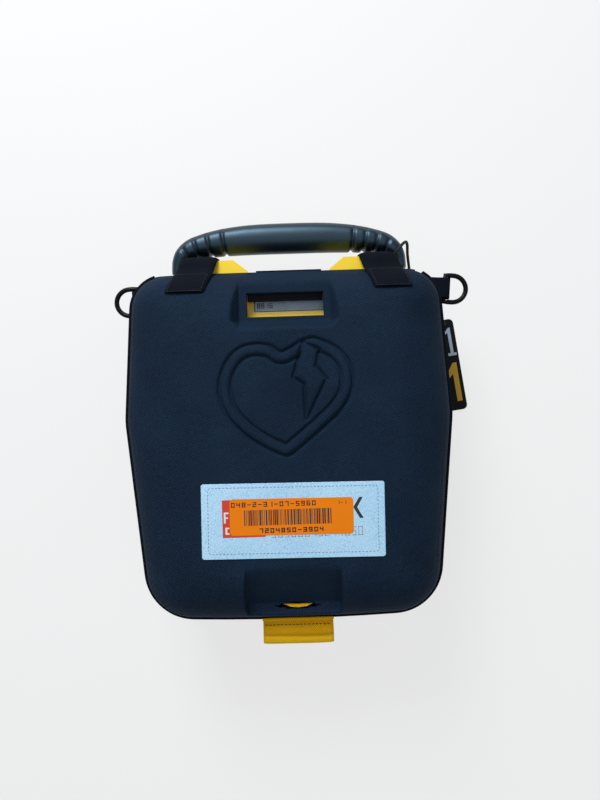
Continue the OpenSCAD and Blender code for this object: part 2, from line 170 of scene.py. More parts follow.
def twill(name, dark, light, pitch, turn=0.785):
    """Woven cloth: diagonal ribs crossed by threads, with worn and dusty patches."""
    m, t, b = nodes(name)
    ribs = wave(t, pitch, turn)
    cross = wave(t, pitch * 0.6, turn + 1.2)
    weave = math_node(t, "MULTIPLY", ribs, cross)
    dust = noise(t, 1500, 2, rough=0.7)
    patch = noise(t, 16, 5, rough=0.6)
    mix = math_node(t, "ADD", math_node(t, "MULTIPLY", weave, 0.45),
                    math_node(t, "ADD", math_node(t, "MULTIPLY", dust, 0.5),
                              math_node(t, "MULTIPLY", patch, 0.25)))
    t.links.new(ramp(t, mix, [(0.3, dark), (0.8, light)]), b.inputs["Base Color"])
    b.inputs["Roughness"].default_value = 0.75
    b.inputs["Specular IOR Level"].default_value = 0.06
    n = bump(t, b, patch, 0.12, 0.002)
    bump(t, b, weave, 0.5, 0.0003, n)
    return m


def webbing(name, dark, light):
    """Flat woven tape: herringbone rows along its length."""
    m, t, b = nodes(name)
    a = wave(t, 0.0011, 0.6)
    c = wave(t, 0.0011, -0.6)
    weave = math_node(t, "MAXIMUM", a, c)
    fuzz = noise(t, 900, 3, rough=0.7)
    worn = noise(t, 45, 4)
    mix = math_node(t, "ADD", math_node(t, "MULTIPLY", weave, 0.5),
                    math_node(t, "ADD", math_node(t, "MULTIPLY", fuzz, 0.25),
                              math_node(t, "MULTIPLY", worn, 0.25)))
    t.links.new(ramp(t, mix, [(0.2, dark), (0.8, light)]), b.inputs["Base Color"])
    b.inputs["Roughness"].default_value = 0.8
    b.inputs["Specular IOR Level"].default_value = 0.03
    bump(t, b, weave, 0.7, 0.0004)
    return m


CLOTH = twill("case_cloth", (0.0010, 0.0032, 0.0080), (0.020, 0.046, 0.090), 0.0013)
LINING = twill("case_lining", (0.006, 0.006, 0.008), (0.025, 0.026, 0.03), 0.0012, 0.3)
TAPE = webbing("black_tape", (0.0006, 0.001, 0.002), (0.008, 0.011, 0.018))
GOLD = webbing("yellow_tape", (0.48, 0.22, 0.004), (0.98, 0.53, 0.012))
# lighter copy of the yellow tape: painted light, for the brighter lit fold of the loop and the yellow
# seen under the slit
GOLD_LIT = webbing("yellow_tape_fold", (0.75, 0.38, 0.006), (1.0, 0.62, 0.02))
YELLOW = plastic("yellow_moulding", (0.90, 0.62, 0.014), 0.5, 1400, 0.12, 0.04)
RUBBER = plastic("handle_rubber", (0.004, 0.009, 0.016), 0.42, 700, 0.15, 0.25, shine=0.85,
                 tint=(0.5, 0.78, 1))
GLOSS = plastic("ring_acetal", (0.003, 0.003, 0.004), 0.3, 300, 0.05, 0.2, shine=0.14)
STEEL = plastic("turned_steel", (0.55, 0.56, 0.58), 0.28, 600, 0.05, 0.04, metal=1.0)
DARK = plastic("dark_plastic", (0.025, 0.026, 0.028), 0.5)
THREAD = plastic("tape_thread", (0.018, 0.021, 0.028), 0.8, 2500, 0.4)
DTHREAD = plastic("dark_thread", (0.006, 0.009, 0.014), 0.8, 2500, 0.4)
STITCH_W = plastic("label_thread", (0.17, 0.27, 0.42), 0.8, 2500, 0.4)
INK = plastic("printed_ink", (0.02, 0.018, 0.016), 0.6)
RED = plastic("red_print", (0.62, 0.045, 0.018), 0.45)
ORANGE = plastic("sticker_film", (0.86, 0.215, 0.003), 0.5, 300, 0.08, 0.03, shine=0.12)
GREY = plastic("grey_ink", (0.30, 0.33, 0.37), 0.6)
WHITE = plastic("white_ink", (0.75, 0.78, 0.8), 0.5)
SILVER = plastic("silver_ink", (0.27, 0.33, 0.42), 0.6)
OCHRE = plastic("ochre_ink", (0.42, 0.24, 0.006), 0.6)
CARD = plastic("tag_card", (0.003, 0.0035, 0.004), 0.6, 500, 0.08, 0.2, shine=0.14)
CORD = plastic("cord_black", (0.008, 0.008, 0.009), 0.7, 2500, 0.6)
IR_RED = plastic("ir_window", (0.08, 0.006, 0.008), 0.15)


def reflective():
    """Retroreflective film: a fine honeycomb under a clear face, a little creased."""
    m, t, b = nodes("reflective_film")
    v = put(t, "ShaderNodeTexVoronoi", feature="DISTANCE_TO_EDGE")
    v.inputs["Scale"].default_value = 620
    t.links.new(coords(t), v.inputs["Vector"])
    cells = math_node(t, "GREATER_THAN", v.outputs["Distance"], 0.08)
    tone = math_node(t, "ADD", math_node(t, "MULTIPLY", cells, 0.35),
                     math_node(t, "MULTIPLY", noise(t, 22, 5), 0.65))
    t.links.new(ramp(t, tone, [(0.2, (0.32, 0.58, 0.80)), (0.8, (0.55, 0.80, 0.98))]),
                b.inputs["Base Color"])
    b.inputs["Roughness"].default_value = 0.5
    b.inputs["Specular IOR Level"].default_value = 0.3
    n = bump(t, b, noise(t, 30, 4), 0.25, 0.003)
    bump(t, b, cells, 0.12, 0.0002, n)
    return m


FILM = reflective()


def glass_mat():
    """Clear window, seen mostly by its gloss."""
    m, t, b = nodes("clear_lens")
    b.inputs["Base Color"].default_value = (0.5, 0.58, 0.65, 1)
    b.inputs["Roughness"].default_value = 0.08
    b.inputs["Alpha"].default_value = 0.07
    bump(t, b, noise(t, 60, 2), 0.03, 0.0004)
    return m


LENS = glass_mat()
LCD = plastic("lcd_panel", (0.30, 0.42, 0.58), 0.35, 500, 0.03, 0.12)
GREEN = plastic("green_button", (0.02, 0.33, 0.07), 0.35, 900, 0.1)
SHOCK = plastic("shock_orange", (0.83, 0.2, 0.012), 0.35, 900, 0.1)
FOIL = plastic("foil_pouch", (0.62, 0.65, 0.69), 0.3, 60, 0.5, 0.08, metal=0.35)
REDP = plastic("red_pull", (0.6, 0.03, 0.02), 0.4)
PAPER = plastic("card_white", (0.82, 0.82, 0.78), 0.55)
FOAM = plastic("foam", (0.045, 0.048, 0.053), 0.9, 700, 0.9, 0.3)
BOARD = plastic("board_green", (0.012, 0.14, 0.05), 0.4)
CANM = plastic("capacitor_sleeve", (0.02, 0.03, 0.08), 0.35)
COPPER = plastic("winding", (0.45, 0.16, 0.05), 0.4, 500, 0.4)
ALU = plastic("aluminium", (0.6, 0.61, 0.63), 0.35, 600, 0.08, 0.04, metal=1.0)


# ---------- mesh helpers ----------
def new(name, verts, faces, material, body, smooth=True, replaces=()):
    me = bpy.data.meshes.new(name)
    me.from_pydata([tuple(v) for v in verts], [], [tuple(f) for f in faces])
    me.validate()
    o = bpy.data.objects.new(name, me)
    bpy.context.collection.objects.link(o)
    bm = bmesh.new()
    bm.from_mesh(me)
    bmesh.ops.recalc_face_normals(bm, faces=bm.faces)
    bm.to_mesh(me)
    bm.free()
    if smooth:
        me.shade_smooth()
    me.materials.append(material)
    if replaces:
        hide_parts(*replaces)
    if body:
        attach(o, body)
    return o


def arc(cx, cy, r, a, b, n):
    return [(cx + r * math.cos(math.radians(a + (b - a) * i / n)),
             cy + r * math.sin(math.radians(a + (b - a) * i / n))) for i in range(n + 1)]


def plan(d=0.0, ease=0.0, n=14):
    """Outline of the case, inset by d, its corners eased to the radius ease, in millimetres."""
    k1, k2 = max(0, ease - (34 - d)), max(0, ease - (24.5 - d))
    r = [(0, -121.5 + d), (25, -121.3 + d), (48, -120.8 + d)] if d < 30 else [(0, -121.3 + d)]
    r += arc(70 - k1, -86 + k1, max(34 - d, ease), -88, -5.5, n)
    r += arc(54, 20, 60 - d, -5.5, 3.8, 4)
    r += arc(84.5 - k2, 97 - k2, max(24.5 - d, ease), 3.8, 90, n)
    r += [(0, 121.5 - d)]
    return np.array(r + [(-x, y) for x, y in r[-2:0:-1]])


def sdf(poly, p):
    """Signed distance to a closed outline, positive inside."""
    best = np.full(len(p), 1e9)
    inside = np.zeros(len(p), bool)
    for a, b in zip(poly, np.roll(poly, -1, 0)):
        e = b - a
        w = p - a
        t = np.clip((w @ e) / max(e @ e, 1e-9), 0, 1)
        best = np.minimum(best, ((w - t[:, None] * e) ** 2).sum(1))
        c = (a[1] > p[:, 1]) != (b[1] > p[:, 1])
        if abs(e[1]) > 1e-12:
            inside ^= c & (p[:, 0] < e[0] * (p[:, 1] - a[1]) / e[1] + a[0])
    return np.where(inside, 1, -1) * np.sqrt(best)


def smooth_line(pts, n=6, closed=False):
    """Catmull-Rom through points."""
    p = np.array(pts, float)
    out = []
    m = len(p)
    for i in range(m if closed else m - 1):
        a, b, c, d = (p[(i + k) % m] if closed else p[min(max(i + k, 0), m - 1)] for k in (-1, 0, 1, 2))
        for j in range(n):
            t = j / n
            out.append(0.5 * (2 * b + (c - a) * t + (2 * a - 5 * b + 4 * c - d) * t * t
                              + (3 * b - a - 3 * c + d) * t ** 3))
    if not closed:
        out.append(p[-1])
    return np.array(out)


def smin(a, b, k):
    h = np.clip(0.5 + 0.5 * (b - a) / k, 0, 1)
    return b + (a - b) * h - k * h * (1 - h)


# the dome of the cover: distance in from the outline, height, and how far its corners are eased
LEVELS = [(0.0, 88.3, 0), (0.9, 92.4, 0.5), (2.0, 96.0, 1), (3.8, 99.9, 2.5), (6.0, 103.2, 4),
          (9.2, 107.0, 6.5), (13.0, 110.3, 9), (17.6, 113.4, 11.5), (23.0, 116.0, 14),
          (29.0, 117.9, 17), (36.0, 118.85, 20)]
# outlines of the pressed heart and bolt, x and y
HEART = [(-4, 63.3), (-10, 67.3), (-20, 69), (-30, 67), (-38, 60.5), (-43.6, 50), (-45.4, 38), (-43, 27),
         (-37, 17), (-26, 6.5), (-14, -1), (-5, -5.2), (-1.3, -6), (3, -4), (12, 3), (24, 13), (34, 22),
         (41, 32), (43.6, 42), (42.5, 52), (38, 60.5), (31, 66.5), (24, 69.8), (17.6, 71.8), (10, 70),
         (3, 66)]
BOLT = [(11.3, 68.6), (21.4, 63.8), (18.8, 53), (25.2, 44.4), (12.2, 19), (11.6, 41.6), (4.6, 46.4)]


def cover_height(p):
    z = np.full(len(p), LEVELS[-1][1])
    d = [sdf(plan(a, r), p) for a, _, r in LEVELS]
    for i in range(len(LEVELS) - 1, 0, -1):
        out = d[i] < 0
        w = np.clip(d[i - 1] / np.maximum(d[i - 1] - d[i], 1e-6), 0, 1)
        z = np.where(out, LEVELS[i - 1][1] + w * (LEVELS[i][1] - LEVELS[i - 1][1]), z)
    z = np.where(d[0] < 0, LEVELS[0][1], z)
    x, y = p[:, 0], p[:, 1]
    # window trough, with a slack rounded mouth
    side = 108 + np.maximum(0, np.abs(x + 0.4) - 31) * 2.1 + np.maximum(0, 84.5 - y) * 1.9
    z = smin(z, side, 2.2)
    # pull-tab trough
    ramp_z = np.where(y > -108, 119.6 + (y + 79) * 0.641, 101.0)
    side = ramp_z + np.maximum(0, np.abs(x) - 31.5) * 4.5 + np.maximum(0, -114.2 - y) * 5
    z = smin(z, side, 1.6)
    # heart and bolt: pressed lines with a raised, stuffed band between them
    near = (np.abs(x) < 52) & (y > -14) & (y < 80)
    q = p[near]
    h = sdf(smooth_line(HEART, 6, True), q)
    bl = sdf(np.array(BOLT), q)
    line = lambda s, w: np.exp(-(s / w) ** 2)
    relief = -1.9 * line(h - 0.3, 1.25) * (bl < 0.8) - 1.7 * line(h - 7.9, 1.2) * (bl < 0.8)
    relief += 0.9 * np.clip(np.sin(np.clip(h / 7.9, 0, 1) * math.pi), 0, 1) * (bl < 0)
    relief += -2.0 * line(bl + 0.6, 1.0) + 0.8 * np.clip(bl / 3.0, 0, 1)
    z[near] += relief
    # cloth that isn't quite flat
    z += np.where(z > 112, 0.18 * np.sin(x * 0.11 + 1.3) * np.sin(y * 0.09 + 0.4), 0)
    return np.minimum(z, 119.85)


def lines(a, b, fine, step=1.0, small=0.5):
    v, out = a, []
    while v < b - 1e-6:
        out.append(v)
        v += small if fine[0] <= v < fine[1] else step
    return np.array(out + [b])


def make_cover():
    gx = lines(-112, 112, (-47, 47))
    gy = lines(-120, 120, (-9, 75))
    X, Y = np.meshgrid(gx, gy)
    p = np.stack([X.ravel(), Y.ravel()], 1)
    rim = plan(2.0, 1.0, 30)
    s = sdf(rim, p)
    # snap the points just outside onto the outline
    q = p.copy()
    outside = s < 0
    closest = np.full(len(p), 1e9)
    for a, b in zip(rim, np.roll(rim, -1, 0)):
        e = b - a
        t = np.clip(((p - a) @ e) / max(e @ e, 1e-9), 0, 1)
        c = a + t[:, None] * e
        dd = ((p - c) ** 2).sum(1)
        better = outside & (dd < closest)
        q[better] = c[better]
        closest = np.where(better, dd, closest)
    z = cover_height(q)
    z[outside] = np.minimum(z[outside], 96.0)
    n = len(gx)
    faces = []
    cx, cy = (gx[:-1] + gx[1:]) / 2, (gy[:-1] + gy[1:]) / 2
    for j in range(len(gy) - 1):
        for i in range(n - 1):
            k = [j * n + i, j * n + i + 1, (j + 1) * n + i + 1, (j + 1) * n + i]
            if sum(outside[k]) > 2:
                if all(outside[k]):
                    continue
            x, y = cx[i], cy[j]
            if abs(x) < 26 and 88 < y < 104:
                continue
            if abs(x - 2) < 15.6 and abs(y + 110.6) < 2.6 * (1 - ((x - 2) / 15.8) ** 2):
                continue
            faces.append(k)
    v = np.column_stack([q, z]) * MM
    me = bpy.data.meshes.new("cover")
    me.from_pydata(v.tolist(), [], faces)
    bm = bmesh.new()
    bm.from_mesh(me)
    bmesh.ops.remove_doubles(bm, verts=bm.verts, dist=0.00004)
    bmesh.ops.delete(bm, geom=[w for w in bm.verts if not w.link_faces], context="VERTS")
    # the steep edge below the dome
    loop = [e for e in bm.edges if e.is_boundary
            and all(abs(w.co.z - 0.096) < 0.0004 or w.co.y > 0.1185 for w in e.verts)
            and not any(abs(w.co.x) < 0.0262 and 0.087 < w.co.y < 0.105 for w in e.verts)]
    for grow, low in ((1.1, 92.4), (0.9, 88.4)):
        got = bmesh.ops.extrude_edge_only(bm, edges=loop)["geom"]
        ring = {w for w in got if isinstance(w, bmesh.types.BMVert)}
        for w in ring:
            x, y = w.co.x, w.co.y
            if abs(x) < 0.055 and abs(y) > 0.1:
                dx, dy = 0, math.copysign(1, y)
            else:
                ccy = min(max(y, -0.086), 0.097)
                dx, dy = x - math.copysign(0.060, x), y - ccy
                l = math.hypot(dx, dy) or 1
                dx, dy = dx / l, dy / l
            far = {1.1: 2.1, 0.9: 0.1}[grow] if y > 0.1 and abs(x) < 0.09 else grow
            w.co.x += dx * far * MM
            w.co.y += dy * far * MM
            w.co.z = low * MM
        loop = [e for e in got if isinstance(e, bmesh.types.BMEdge)]
    # gaps for the device's shoulders and the handle ends
    cut = [f for f in bm.faces if f.calc_center_median().z < 0.0918 and f.calc_center_median().y > 0.105
           and 0.024 < abs(f.calc_center_median().x - X0 * MM) < 0.0915]
    bmesh.ops.delete(bm, geom=cut, context="FACES")
    bmesh.ops.recalc_face_normals(bm, faces=bm.faces)
    bm.to_mesh(me)
    bm.free()
    me.shade_smooth()
    me.materials.append(CLOTH)
    me.materials.append(LINING)
    o = bpy.data.objects.new("cover_shell", me)
    bpy.context.collection.objects.link(o)
    up = sum(f.normal.z for f in me.polygons[:2000])
    if up < 0:
        me.flip_normals()
    s = o.modifiers.new("thick", "SOLIDIFY")
    s.thickness, s.offset = 0.0036, -1
    s.material_offset = 1
    s.use_rim_only = False
    s.material_offset_rim = 0
    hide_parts("case_front_cover")
    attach(o, COVER)


def ring_points(d, n=260):
    """Evenly spaced points round the case outline, inset by d."""
    p = plan(d, 0, 20)
    q = np.vstack([p, p[:1]])
    s = np.concatenate([[0], np.cumsum(np.linalg.norm(np.diff(q, axis=0), axis=1))])
    t = np.linspace(0, s[-1], n, endpoint=False)
    return np.stack([np.interp(t, s, q[:, i]) for i in (0, 1)], 1)


def make_back():
    outer = [(0, 88), (0.5, 70), (1.2, 52), (1.6, 42), (2.0, 34), (2.8, 24), (4, 14), (5.4, 8.5),
             (7.5, 4.5), (10.6, 1.4), (14, 0.05)]
    inner = [(4.6, 88), (5.4, 60), (6.4, 34), (8, 20), (9.5, 12), (13, 6), (18, 5.0)]
    n = 260
    rings = [np.column_stack([ring_points(d, n), np.full(n, z)]) for d, z in outer]
    rings_i = [np.column_stack([ring_points(d, n), np.full(n, z)]) for d, z in inner]
    v = np.vstack(rings + rings_i)
    m = len(rings)
    f, lining = [], []
    gap = lambda x, y: y > 100 and GAP[0] < abs(x - X0) < GAP[1]

    def strip(a, b, inside):
        for i in range(n):
            j = (i + 1) % n
            x, y = (v[a * n + i][:2] + v[a * n + j][:2]) / 2
            if gap(x, y) and min(v[a * n + i][2], v[b * n + i][2]) > 33:
                continue
            f.append((a * n + i, a * n + j, b * n + j, b * n + i))
            lining.append(inside)
    for k in range(m - 1):
        strip(k, k + 1, 0)
    for k in range(m, m + len(rings_i) - 1):
        strip(k, k + 1, 1)
    strip(0, m, 0)
    for i in range(n):  # the sill and the sides of the gaps
        j = (i + 1) % n
        x, y = (v[4 * n + i][:2] + v[4 * n + j][:2]) / 2
        if gap(x, y):
            f.append((4 * n + i, 4 * n + j, (m + 2) * n + j, (m + 2) * n + i))
            lining.append(0)
    f.append(tuple((m - 1) * n + i for i in range(n)))
    f.append(tuple((m + len(rings_i) - 1) * n + i for i in range(n)))
    lining += [0, 1]
    o = new("back_shell", v * MM, f, CLOTH, None, replaces=("case_back_shell",))
    o.data.materials.append(LINING)
    if len(o.data.polygons) == len(lining):
        o.data.polygons.foreach_set("material_index", lining)
    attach(o, ROOT)


def tube(name, pts, r, material, body, closed=False, replaces=(), res=5):
    """Round cord or ring of radius r along points in millimetres."""
    c = bpy.data.curves.new(name, "CURVE")
    c.dimensions = "3D"
    c.bevel_depth, c.bevel_resolution, c.use_fill_caps = r * MM, res, True
    s = c.splines.new("POLY")
    s.points.add(len(pts) - 1)
    for k, p in zip(s.points, pts):
        k.co = (p[0] * MM, p[1] * MM, p[2] * MM, 1)
    s.use_cyclic_u = closed
    s.use_smooth = True
    o = bpy.data.objects.new(name, c)
    bpy.context.collection.objects.link(o)
    c.materials.append(material)
    if replaces:
        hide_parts(*replaces)
    if body:
        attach(o, body)
    return o


def make_bindings():
    for name, z, body, node in (("cover_piping", 90.2, COVER, "cover_binding"),
                                ("back_piping", 86.2, ROOT, "back_binding")):
        count = 300
        p = ring_points(-0.1, count)
        keep = [i for i in range(count)
                if not (p[i][1] > 100 and GAP[0] - 0.5 < abs(p[i][0] - X0) < GAP[1] + 0.5)]
        runs, run = [], [keep[0]]
        for i in keep[1:]:
            if i == run[-1] + 1:
                run.append(i)
            else:
                runs.append(run)
                run = [i]
        runs.append(run)
        if runs[0][0] == 0 and runs[-1][-1] == count - 1:
            runs[0] = runs.pop() + runs[0]
        for k, r in enumerate(runs):
            tube(f"{name}_{k}", [(p[i][0], p[i][1], z) for i in r], 1.45, TAPE, body,
                 replaces=(node,))


# ---------- straps ----------
# y and z of the straps, from the cover over the top edge and down behind the device
PATH = [(105, 113.4), (108, 112.2), (111, 110.2), (114, 107.6), (117.2, 103.6), (120.4, 99.0),
        (124, 96.0), (128, 94.4), (131.2, 92.2), (132.6, 88), (133.1, 77), (133.1, 64), (132.9, 50),
        (132.2, 40), (128, 33), (123.4, 28), (121.2, 20), (120.0, 12)]
STITCHES = []
HALF_STRAP = 13.0


def strap_x(side, y, z):
    """Middle of a strap: over the cover it leans outwards."""
    return side * (62.4 + 0.30 * max(0.0, 131 - y) * (1 if z > 90 else 0)) + X0


def normals(line):
    """Unit normals of a line in a plane, to its left."""
    d = np.gradient(line, axis=0)
    d /= np.linalg.norm(d, axis=1)[:, None]
    return np.column_stack([-d[:, 1], d[:, 0]])


def strip_faces(m, cols):
    """Faces of a strip of two layers, each m by cols points: both sides, then the edges and ends."""
    o = m * cols
    f = [(a, a + 1, a + cols + 1, a + cols) for layer in (0, o) for i in range(m - 1)
         for a in range(layer + i * cols, layer + (i + 1) * cols - 1)]
    f += [(a, a + cols, o + a + cols, o + a) for i in range(m - 1)
          for a in (i * cols, (i + 1) * cols - 1)]
    f += [(a, a + 1, o + a + 1, o + a) for i in (0, m - 1)
          for a in range(i * cols, (i + 1) * cols - 1)]
    return f


def make_strap(side, name, node):
    line = smooth_line(PATH, 5)
    v, cols, nrm = [], 15, normals(line)
    if nrm[10][1] < 0:
        nrm = -nrm
    for layer in (0, 1):
        for i, (y, z) in enumerate(line):
            shift = strap_x(side, y, z)
            for c in range(cols):
                u = c / (cols - 1) * 2 - 1
                lift = (0.25 + 1.35 * (1 - abs(u) ** 8)) if layer else 0.05
                lift += 0.25 * math.sin(u * 2.1 + y * 0.2)
                v.append((shift + u * HALF_STRAP, y + nrm[i][0] * lift, z + nrm[i][1] * lift))
    f = strip_faces(len(line), cols)
    s = new(name, np.array(v) * MM, f, TAPE, None, replaces=(node,))
    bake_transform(s)
    # a box of stitches at the sewn end
    def at(u, k):
        y, z = line[k]
        return (strap_x(side, y, z) + u * HALF_STRAP, y + nrm[k][0] * 1.75, z + nrm[k][1] * 1.75)

    for u0, k0, u1, k1 in ((-0.86, 1, 0.86, 1), (-0.86, 21, 0.86, 21), (-0.86, 1, -0.86, 21),
                           (0.86, 1, 0.86, 21)):
        n = 12
        for j in range(n):
            a, b = j / n, (j + STITCH) / n
            ka, kb = k0 + (k1 - k0) * a, k0 + (k1 - k0) * b
            pa = np.array(at(u0 + (u1 - u0) * a, int(round(ka))))
            pb = np.array(at(u0 + (u1 - u0) * b, int(round(kb))))
            if np.linalg.norm(pa - pb) > 0.2:
                STITCHES.append((pa, pb, 0.22))


def stitch_mesh(name, items, material, body):
    """Short raised threads, each a flattened bead, in one mesh."""
    v, f = [], []
    for a, b, r in items:
        a, b = np.array(a, float), np.array(b, float)
        d = b - a
        l = np.linalg.norm(d)
        d = d / l
        s = np.cross(d, [0, 0, 1.0])
        s = s / (np.linalg.norm(s) or 1)
        u = np.cross(s, d)
        base = len(v)
        for t, k in ((0, 0.45), (0.2, 1), (0.8, 1), (1, 0.45)):
            for g in range(6):
                w = g * math.pi / 3
                v.append(a + d * l * t + k * r * (math.cos(w) * s + math.sin(w) * u * 0.8))
        for i in range(3):
            for g in range(6):
                h = (g + 1) % 6
                a, b = base + i * 6, base + i * 6 + 6
                f.append((a + g, a + h, b + h, b + g))
        f.append(tuple(base + g for g in range(6)))
        f.append(tuple(base + 18 + g for g in range(6)))
    return new(name, np.array(v) * MM, f, material, body)


def run_of(pts, pitch, r):
    """Stitches along a line of points."""
    q = np.array(pts, float)
    s = np.concatenate([[0], np.cumsum(np.linalg.norm(np.diff(q, axis=0), axis=1))])
    k = max(1, int(s[-1] / pitch))
    out = []
    for i in range(k):
        a, b = i * s[-1] / k, (i + STITCH) * s[-1] / k
        out.append((np.array([np.interp(a, s, q[:, c]) for c in range(q.shape[1])]),
                    np.array([np.interp(b, s, q[:, c]) for c in range(q.shape[1])]), r))
    return out


def slab(name, outline, z0, z1, material, body, round_top=0.0, replaces=()):
    """Flat piece with a softened top edge."""
    p = np.array(outline, float)
    c = p.mean(0)
    rings = [(0, z0), (0, z1)]
    if round_top:
        rings = [(0, z0), (0, z1 - round_top), (round_top * 0.3, z1 - round_top * 0.3), (round_top, z1)]
    v, f, n = [], [], len(p)
    for d, z in rings:
        q = p + (c - p) / np.maximum(np.linalg.norm(c - p, axis=1)[:, None], 1e-6) * d
        v += [(x, y, z) for x, y in q]
    for k in range(len(rings) - 1):
        f += [(k * n + i, k * n + (i + 1) % n, (k + 1) * n + (i + 1) % n, (k + 1) * n + i)
              for i in range(n)]
    f += [tuple(range(n)), tuple((len(rings) - 1) * n + i for i in range(n))]
    return new(name, np.array(v) * MM, f, material, body, smooth=False, replaces=replaces)


def rrect(cx, cy, w, l, r, n=6, turn=0.0):
    o = []
    for sx, sy, a in ((1, -1, -90), (1, 1, 0), (-1, 1, 90), (-1, -1, 180)):
        o += arc(sx * (w / 2 - r), sy * (l / 2 - r), r, a, a + 90, n)
    t = math.radians(turn)
    return [(cx + x * math.cos(t) - y * math.sin(t), cy + x * math.sin(t) + y * math.cos(t))
            for x, y in o]


make_cover()
make_back()
make_bindings()
make_strap(-1, "strap_left", "hinge_strap_left")
make_strap(1, "strap_right", "hinge_strap_right")
stitch_mesh("strap_stitches", STITCHES, THREAD, COVER)

# seam stitches round the plateau edge of the cover
p = plan(5.5, 3, 20)
hz = cover_height(p)
seam = [(a, b, r) for a, b, r in run_of(np.column_stack([p, hz + 0.12])[4:-4], 3.2, 0.2)
        if not (a[1] > 112 or (abs(a[0]) < 36 and abs(a[1]) > 80))]
stitch_mesh("cover_seam", seam, DTHREAD, COVER)

# ---------- label ----------
TURN = -0.6  # the label and the sticker lie a little askew
LABEL_Z, STICKER_Z, RED_Z = 119.66, 119.89, 119.7  # where the printing on each lies
slab("label", rrect(1.2, -48, 121, 49.6, 1.6, turn=TURN), 118.9, 119.62, FILM, COVER, 0.5,
     ("label_patch",))
edge = rrect(1.2, -47.6, 112, 43.4, 1.5, turn=TURN)
stitch_mesh("label_stitches", run_of([(x, y, LABEL_Z) for x, y in edge + edge[:1]], 2.4, 0.2), STITCH_W,
            COVER)
slab("label_red", [(-45.4, -58.2), (-17.2, -58.2), (-17.2, -33.4), (-45.4, -33.4)], 119.6, LABEL_Z, RED,
     COVER)
slab("sticker", rrect(0.2, -45.3, 81.4, 24.0, 2.4, turn=TURN), LABEL_Z, 119.86, ORANGE, COVER, 0.1,
     ("asset_sticker",))


SEGMENTS = {"0": "abcdef", "1": "bc", "2": "abged", "3": "abgcd", "4": "fgbc", "5": "afgcd",
            "6": "afgedc", "7": "abc", "8": "abcdefg", "9": "abfgcd", "-": "g"}


def figures(text, x, y, h, w, stroke, z, gap=0.8):
    """Rectangles of a row of figures, each of up to seven straight strokes."""
    out = []
    m = h / 2
    box = {"a": (0, h - stroke, w, h), "g": (0, m - stroke / 2, w, m + stroke / 2),
           "d": (0, 0, w, stroke), "f": (0, m, stroke, h), "e": (0, 0, stroke, m),
           "b": (w - stroke, m, w, h), "c": (w - stroke, 0, w, m)}
    for ch in text:
        for k in SEGMENTS.get(ch, ""):
            a, b, c, d = box[k]
            out.append((x + a, y + b, x + c, y + d, z))
        x += w + gap
    return out


def code(x0, x1, y0, y1, z, seed):
    """Upright bars of mixed widths."""
    r = np.random.default_rng(seed)
    out, x = [], x0
    while x < x1:
        w = float(r.choice([0.32, 0.32, 0.64, 0.96]))
        out.append((x, y0, min(x + w, x1), y1, z))
        x += w + float(r.choice([0.36, 0.36, 0.72]))
    return out


def printed(name, rects, material, body=COVER):
    v, f = [], []
    for a, b, c, d, z in rects:
        k = len(v)
        v += [(a, b, z), (c, b, z), (c, d, z), (a, d, z)]
        f.append((k, k + 1, k + 2, k + 3))
    return new(name, np.array(v) * MM, f, material, body, smooth=False)


printed("sticker_print", code(-31.0, 26.4, -50.6, -40.4, STICKER_Z, 5)
        + figures("048-2-31-07-5960", -39.4, -38.4, 3.2, 2.4, 0.62, STICKER_Z, 1.15)
        + figures("1-1", 30.4, -38.2, 2.4, 1.5, 0.36, STICKER_Z, 0.7)
        + figures("7204850-3904", -21.2, -55.6, 3.1, 2.5, 0.7, STICKER_Z, 1.1), INK)
printed("label_print_thin", figures("36500819274650", -13.4, -58.9, 5.8, 2.9, 0.45, LABEL_Z, 1.5), GREY)
v = [(40.9, -40.4), (44.9, -33.9), (47.3, -33.9), (43.4, -40.6), (47.6, -47.7), (45.1, -47.7)]
new("label_mark", np.array([(x, y, LABEL_Z) for x, y in v]) * MM, [(0, 3, 2, 1), (0, 5, 4, 3)], INK,
    COVER, smooth=False)
marks = [(-43.2, -45.6, -41.6, -44.6), (-44.4, -48.6, -43.2, -41.4), (-43.2, -42.5, -41.2, -41.4),
         (-43.6, -56.0, -42.4, -51.4), (-42.4, -52.4, -41.0, -51.4), (-42.4, -56.0, -41.0, -55.0)]
printed("label_red_marks", [(*r, RED_Z) for r in marks], WHITE)


# ---------- pull tab ----------
def tab(name, prof, x0, x1, material, thick=1.5, replaces=()):
    """Webbing along a profile in y and z."""
    line = smooth_line(prof, 5)
    v, cols, m, nrm = [], 19, len(line), normals(line)
    for s in (-1, 1):
        for i, (y, z) in enumerate(line):
            for c in range(cols):
                u = c / (cols - 1) * 2 - 1
                t = s * thick / 2 * (1 - 0.7 * abs(u) ** 12)
                sag = 0.5 * math.sin(u * 2.6 + 0.5) * i / m
                v.append(((x0 + x1) / 2 + u * (x1 - x0) / 2, y + nrm[i][0] * t,
                          z + nrm[i][1] * t + sag))
    return new(name, np.array(v) * MM, strip_faces(m, cols), material, COVER, replaces=replaces)


